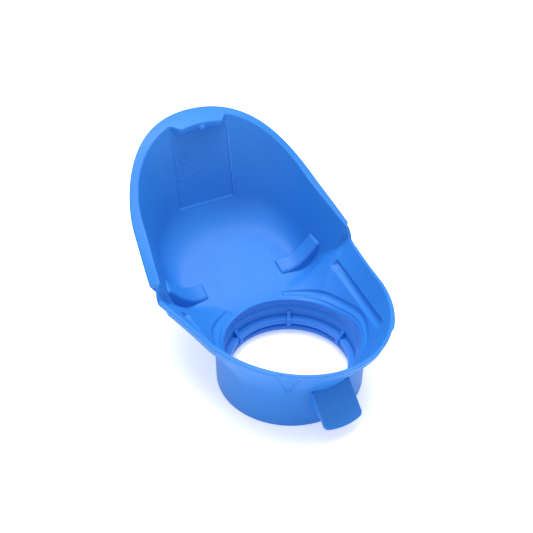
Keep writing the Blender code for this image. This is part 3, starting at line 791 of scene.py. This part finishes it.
def build_block(name, side, tree, mat):
    """Stop block across the corner between floor and wall, with a dished top."""
    sections = []
    steps = 36
    for i in range(steps + 1):
        t = BLOCK_PAST_WALL * i / steps
        up = min(t, 1.0)
        sag = BLOCK_SAG * 4.0 * up * (1.0 - up)
        lift = 0.7 * (1.0 - smooth(t / 0.5)) - 0.9 * (1.0 - smooth(t / 0.04))
        x, near_y, far_y = [lerp(BLOCK_FOOT[k], BLOCK_TOP[k], t) for k in (0, 1, 2)]
        near_z, far_z = [lerp(BLOCK_FOOT[k], BLOCK_TOP[k], up) - sag + lift for k in (3, 4)]
        section = []
        low = []
        for s in BLOCK_ROWS:
            y = lerp(near_y, far_y, s)
            into_round = max(0.0, 1.0 - min(s, 1.0 - s) / BLOCK_ROUND)
            drop = BLOCK_ROUND_DROP * (1.0 - math.sqrt(max(0.0, 1.0 - into_round ** 2)))
            z = lerp(near_z, far_z, s) - drop
            out = min(x, side_hit(tree, side, y, z) + 0.7) if t > 0.8 else x
            hit, _ = floor_hit(tree, side * out, y)
            section.append((side * out, y, z))
            low.append((side * out, y, min(hit.z, z) - 0.8))
        sections.append(section + low[::-1])
    return loft(name, sections, mat, 60.0)


def build_seam(tree, mat):
    """Fine raised line down the right edge of the end wall's recess."""
    sections = []
    steps = 40
    for i in range(steps + 1):
        z = lerp(PANEL_LOW + 0.5, PANEL_HIGH + 1.0, i / steps)
        hit, _ = wall_hit(tree, PANEL_HALF_W + SEAM_ASIDE, z)
        section = [(hit.x - SEAM_HALF_W, hit.y + SEAM_ROOT, z)]
        for k in range(7):
            a = math.pi * k / 6
            section.append((hit.x - SEAM_HALF_W * math.cos(a), hit.y - SEAM_PROUD * math.sin(a), z))
        section.append((hit.x + SEAM_HALF_W, hit.y + SEAM_ROOT, z))
        sections.append(section)
    return loft("panel_seam", sections, mat, 60.0)


def build_tab(mat):
    """Thumb tab, its free end bowed out and round at the corners."""
    lean = unit(np.array(TAB_OUTLINE[2]) - np.array(TAB_OUTLINE[1]))
    sections = []
    steps = 24
    for i in range(steps + 1):
        side = i / steps - 0.5
        bulge = lean * TAB_BULGE * (1.0 - 4.0 * side * side)
        corner = lean * -TAB_CORNER * smooth((abs(side) - TAB_CORNER_AT) / TAB_CORNER_RUN) ** 2
        section = []
        for k, (y, z) in enumerate(TAB_OUTLINE):
            tip = bulge + corner if k in (2, 3) else np.zeros(2)
            section.append((side * TAB_WIDTH, y + tip[0], z + tip[1]))
        sections.append(section)
    tab = loft("thumb_tab_skin", sections, mat, 60.0)
    bevel(tab, 0.45, 3, 30.0)
    for face in tab.data.polygons:
        face.use_smooth = True
    tab.data.set_sharp_from_angle(angle=math.radians(60.0))
    return tab


def build_rib(index, mat):
    """Upright rib between two stretches of the stop ring."""
    turn = -math.radians(RIB_FIRST_DEG + index * 360.0 / RIB_COUNT)
    outward = np.array((-math.sin(turn), math.cos(turn)))
    across = np.array((math.cos(turn), math.sin(turn)))
    sections = []
    for x in (-0.5 * RIB_WIDTH, 0.5 * RIB_WIDTH):
        sections.append([(*(across * x + outward * r), z) for r, z in RIB_OUTLINE])
    rib = loft("rib_%d" % (index + 1), sections, mat, 60.0)
    bevel(rib, 0.4, 3, 30.0)
    rib.data.set_sharp_from_angle(angle=math.radians(60.0))
    return rib


def disc(name, centre, normal, profile, mat, turns=48):
    """Turned piece about a normal. The profile is (radius, height) pairs from the rim to the middle."""
    normal = Vector(normal).normalized()
    across = normal.orthogonal().normalized()
    other = normal.cross(across)
    sections = []
    for k in range(turns):
        a = 2.0 * math.pi * k / turns
        flat = across * math.cos(a) + other * math.sin(a)
        sections.append([tuple(Vector(centre) + flat * r + normal * h) for r, h in profile])
    size = len(profile)
    points = [p for section in sections for p in section]
    faces = []
    for i in range(turns):
        a = i * size
        b = ((i + 1) % turns) * size
        for j in range(size):
            k = (j + 1) % size
            faces.append((a + j, a + k, b + k, b + j))
    return add_mesh(name, points, faces, mat, 60.0)


def build_gusset(name, side, mat):
    """Small web under the front end of the flange."""
    root = GUSSET_OUTLINE[0][0]
    sections = []
    for y in GUSSET_Y:
        sections.append([(side * x, y + (x - root) * GUSSET_TURN, z) for x, z in GUSSET_OUTLINE])
    web = loft(name, sections, mat, 50.0)
    bevel(web, 0.25, 2, 30.0)
    return web


def blue_plastic():
    mat = bpy.data.materials.new("blue_plastic_visual")
    mat.use_nodes = True
    nodes = mat.node_tree.nodes
    links = mat.node_tree.links
    shader = nodes["Principled BSDF"]
    shader.inputs["IOR"].default_value = 1.49
    shader.inputs["Subsurface Weight"].default_value = 0.06
    shader.inputs["Subsurface Radius"].default_value = (0.2, 0.5, 1.0)
    shader.inputs["Subsurface Scale"].default_value = 0.002
    shader.inputs["Specular IOR Level"].default_value = 0.22
    where = nodes.new("ShaderNodeTexCoord")

    def noise(scale, detail, rough=0.5):
        node = nodes.new("ShaderNodeTexNoise")
        node.inputs["Scale"].default_value = scale
        node.inputs["Detail"].default_value = detail
        node.inputs["Roughness"].default_value = rough
        links.new(where.outputs["Object"], node.inputs["Vector"])
        return node

    cloud = noise(28.0, 4.0)
    speck = noise(900.0, 3.0, 0.6)
    ramp = nodes.new("ShaderNodeValToRGB")
    ramp.color_ramp.elements[0].position = 0.3
    ramp.color_ramp.elements[0].color = DEEP_BLUE
    ramp.color_ramp.elements[1].position = 0.7
    ramp.color_ramp.elements[1].color = LIGHT_BLUE
    links.new(cloud.outputs["Fac"], ramp.inputs["Fac"])
    # Sharp convex edges, found by pointiness, take up to 35% of the paler edge blue: partly wear, partly a
    # painted highlight
    geometry = nodes.new("ShaderNodeNewGeometry")
    edge = nodes.new("ShaderNodeMapRange")
    edge.inputs["From Min"].default_value = 0.52
    edge.inputs["From Max"].default_value = 0.62
    edge.inputs["To Max"].default_value = 0.35
    links.new(geometry.outputs["Pointiness"], edge.inputs["Value"])
    wear_and_highlight = nodes.new("ShaderNodeMix")
    wear_and_highlight.data_type = "RGBA"
    wear_and_highlight.inputs[7].default_value = EDGE_WEAR_HIGHLIGHT_BLUE
    links.new(edge.outputs["Result"], wear_and_highlight.inputs[0])
    links.new(ramp.outputs["Color"], wear_and_highlight.inputs[6])
    links.new(wear_and_highlight.outputs[2], shader.inputs["Base Color"])
    gloss = nodes.new("ShaderNodeMapRange")
    gloss.inputs["To Min"].default_value = 0.36
    gloss.inputs["To Max"].default_value = 0.50
    links.new(speck.outputs["Fac"], gloss.inputs["Value"])
    links.new(gloss.outputs["Result"], shader.inputs["Roughness"])
    grain = nodes.new("ShaderNodeBump")
    grain.inputs["Strength"].default_value = 0.08
    grain.inputs["Distance"].default_value = 0.0001
    links.new(speck.outputs["Fac"], grain.inputs["Height"])
    ripple = nodes.new("ShaderNodeBump")
    ripple.inputs["Strength"].default_value = 0.06
    ripple.inputs["Distance"].default_value = 0.0006
    links.new(cloud.outputs["Fac"], ripple.inputs["Height"])
    links.new(ripple.outputs["Normal"], grain.inputs["Normal"])
    links.new(grain.outputs["Normal"], shader.inputs["Normal"])
    return mat


def seam_highlight_plastic():
    """Paler plastic for the raised line beside the recess: a painted highlight that makes the line read
    light.
    """
    mat = bpy.data.materials.new("seam_plastic_visual")
    mat.use_nodes = True
    shader = mat.node_tree.nodes["Principled BSDF"]
    shader.inputs["Base Color"].default_value = SEAM_HIGHLIGHT_BLUE
    shader.inputs["Roughness"].default_value = 0.4
    shader.inputs["IOR"].default_value = 1.49
    return mat


def build_object():
    mat = blue_plastic()
    moulding, inner = build_moulding(mat)
    tree = inner_tree(inner)
    cut_panel(moulding, tree, mat)
    stop_rings = ["stop_ring_%d" % (i + 1) for i in range(RIB_COUNT)]
    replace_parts(moulding, *MOULDING_NODES, *stop_rings)
    for label, side in (("left", -1), ("right", 1)):
        block = build_block("block_" + label, side, tree, mat)
        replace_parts(block, "stop_block_" + label)
        web = build_gusset("web_" + label, side, mat)
        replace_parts(web, "flange_gusset_" + label)
        hit, normal = floor_hit(tree, side * PIN_PLACE[0], PIN_PLACE[1])
        disc("pin_mark_" + label, hit, normal, PIN_RING, mat)
    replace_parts(build_tab(mat), "thumb_tab")
    for i in range(RIB_COUNT):
        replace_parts(build_rib(i, mat), "stop_rib_%d" % (i + 1))
    for i, (x, z, proud) in enumerate(DIALS, 1):
        ring = (
            (DIAL_R, -0.5), (DIAL_R - 0.05, 0.0), (DIAL_R - 0.25, proud), (DIAL_R - 0.55, proud),
            (DIAL_R - 0.75, 0.0), (0.7, 0.0), (0.55, proud * 0.7), (0.02, proud * 0.8), (0.02, -0.5),
        )
        hit, normal = wall_hit(tree, x, z)
        sunk = panel_depth((z - PANEL_LOW) / (PANEL_HIGH - PANEL_LOW))
        dial = disc("dial_%d" % i, hit + Vector((0.0, sunk, 0.0)), normal, ring, mat)
        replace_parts(dial, "dial_mark_%d" % i)
    # The raised line beside the recess gets a paler plastic: a painted highlight
    build_seam(tree, seam_highlight_plastic())
    disc("gate_mark", GATE_PLACE, (0.0, -1.0, 0.35), GATE_PROFILE, mat, 32)


def build_floor():
    mesh = bpy.data.meshes.new("floor")
    mesh.from_pydata([(-3, -3, 0), (3, -3, 0), (3, 3, 0), (-3, 3, 0)], [], [(0, 1, 2, 3)])
    floor = bpy.data.objects.new("floor", mesh)
    bpy.context.scene.collection.objects.link(floor)
    mat = bpy.data.materials.new("pale_floor")
    mat.use_nodes = True
    nodes = mat.node_tree.nodes
    shader = nodes["Principled BSDF"]
    shader.inputs["Roughness"].default_value = 0.9
    shader.inputs["Specular IOR Level"].default_value = 0.1
    shader.inputs["Emission Color"].default_value = WHITE
    shader.inputs["Emission Strength"].default_value = 0.4
    noise = nodes.new("ShaderNodeTexNoise")
    noise.inputs["Scale"].default_value = 3.0
    ramp = nodes.new("ShaderNodeValToRGB")
    ramp.color_ramp.elements[0].color = (0.93, 0.93, 0.93, 1.0)
    ramp.color_ramp.elements[1].color = (0.96, 0.96, 0.96, 1.0)
    mat.node_tree.links.new(noise.outputs["Fac"], ramp.inputs["Fac"])
    mat.node_tree.links.new(ramp.outputs["Color"], shader.inputs["Base Color"])
    mesh.materials.append(mat)


def add_light(name, location, target, size, power):
    data = bpy.data.lights.new(name, "AREA")
    data.shape = "DISK"
    data.size = size
    data.energy = power
    light = bpy.data.objects.new(name, data)
    light.location = location
    light.rotation_euler = (Vector(target) - Vector(location)).to_track_quat("-Z", "Y").to_euler()
    bpy.context.scene.collection.objects.link(light)


def build_light():
    world = bpy.data.worlds.new("studio")
    world.use_nodes = True
    world.node_tree.nodes["Background"].inputs["Color"].default_value = WHITE
    world.node_tree.nodes["Background"].inputs["Strength"].default_value = 0.67
    bpy.context.scene.world = world
    add_light("key", (0.05, 0.12, 0.94), (0.0, 0.0, 0.04), 0.8, 9.6)
    add_light("front", (-0.6, -0.8, 0.4), (0.0, -0.02, 0.03), 0.6, 0.95)


def build_camera():
    elevation = math.radians(CAMERA_ELEVATION)
    turn = math.radians(CAMERA_TURN)
    level = math.cos(elevation)
    back = Vector((math.sin(turn) * level, -math.cos(turn) * level, math.sin(elevation)))
    right = Vector((math.cos(turn), math.sin(turn), 0.0))
    up = back.cross(right)
    place = (back - right * CAMERA_ASIDE[0] - up * CAMERA_ASIDE[1]) * CAMERA_DISTANCE
    place += Vector((0.0, AXIS_Y * MM, -BASE_Z * MM))
    data = bpy.data.cameras.new("camera")
    data.sensor_width = 36.0
    data.lens = CAMERA_LENS
    data.clip_start = 0.01
    camera = bpy.data.objects.new("camera", data)
    camera.matrix_world = Matrix((
        (right.x, up.x, back.x, place.x),
        (right.y, up.y, back.y, place.y),
        (right.z, up.z, back.z, place.z),
        (0.0, 0.0, 0.0, 1.0)))
    bpy.context.scene.collection.objects.link(camera)
    bpy.context.scene.camera = camera


build_camera()
build_light()
build_floor()
build_object()
bpy.context.scene.view_settings.view_transform = "Standard"
